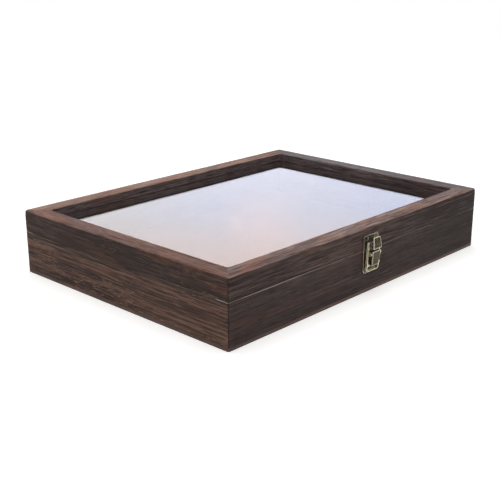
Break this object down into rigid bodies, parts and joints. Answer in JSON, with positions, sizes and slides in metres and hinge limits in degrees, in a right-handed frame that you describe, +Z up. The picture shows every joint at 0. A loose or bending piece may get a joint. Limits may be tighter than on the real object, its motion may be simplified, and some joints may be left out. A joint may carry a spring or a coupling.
{
  "type": "insect specimen box",
  "caption": "Shallow wooden display case with a hinged glazed lid, a pinning foam floor and a toggle latch at the front, for pinned insects.",
  "frame": {"origin": "middle of the wooden underside", "axes": "+X to the right along the front, +Y to the back, +Z up; the latch is on the -Y face and the hinges on the +Y face"},
  "size_m": [0.35, 0.2729, 0.0594],
  "materials": {
    "dark_wood": "scorched and brushed, satin",
    "bottom_panel": "stained thin board",
    "glass": "clear float glass",
    "foam": "fine closed-cell foam, brown",
    "antique_brass": "antiqued, bright on worn rims"
  },
  "bodies": {
    "case_base": {"base_front": "dark_wood", "base_back": "dark_wood", "base_left": "dark_wood", "base_right": "dark_wood", "bottom_panel": "bottom_panel", "pinning_foam": "foam", "hinge_left_base_leaf": "antique_brass", "hinge_right_base_leaf": "antique_brass", "hinge_left_pin": "antique_brass", "hinge_right_pin": "antique_brass", "hinge_base_screws": "antique_brass", "latch_base_plate": "antique_brass", "latch_lever_pin": "antique_brass", "latch_base_screws": "antique_brass"},
    "lid": {"lid_front": "dark_wood", "lid_back": "dark_wood", "lid_left": "dark_wood", "lid_right": "dark_wood", "glass_pane": "glass", "bead_front": "dark_wood", "bead_back": "dark_wood", "bead_left": "dark_wood", "bead_right": "dark_wood", "hinge_left_lid_leaf": "antique_brass", "hinge_right_lid_leaf": "antique_brass", "hinge_lid_screws": "antique_brass", "latch_catch_plate": "antique_brass", "latch_catch_screws": "antique_brass"},
    "lever": {"latch_lever": "antique_brass", "latch_loop_pin": "antique_brass"},
    "loop": {"latch_loop": "antique_brass"}
  },
  "joints": [
    {"name": "lid_hinge", "type": "hinge", "parent": "case_base", "child": "lid", "pos_m": [0, 0.1325, 0.03965], "axis": [-1, 0, 0], "range_deg": [0, 180]},
    {"name": "lever_pivot", "type": "hinge", "parent": "case_base", "child": "lever", "pos_m": [0, -0.1352, 0.0363], "axis": [-1, 0, 0], "range_deg": [0, 110]},
    {"name": "loop_pivot", "type": "hinge", "parent": "lever", "child": "loop", "pos_m": [0, -0.1331, 0.027], "axis": [1, 0, 0], "range_deg": [0, 71]}
  ],
  "couplings": [
    {"joint": "loop_pivot", "follows": "lever_pivot", "ratio": 0.64}
  ]
}
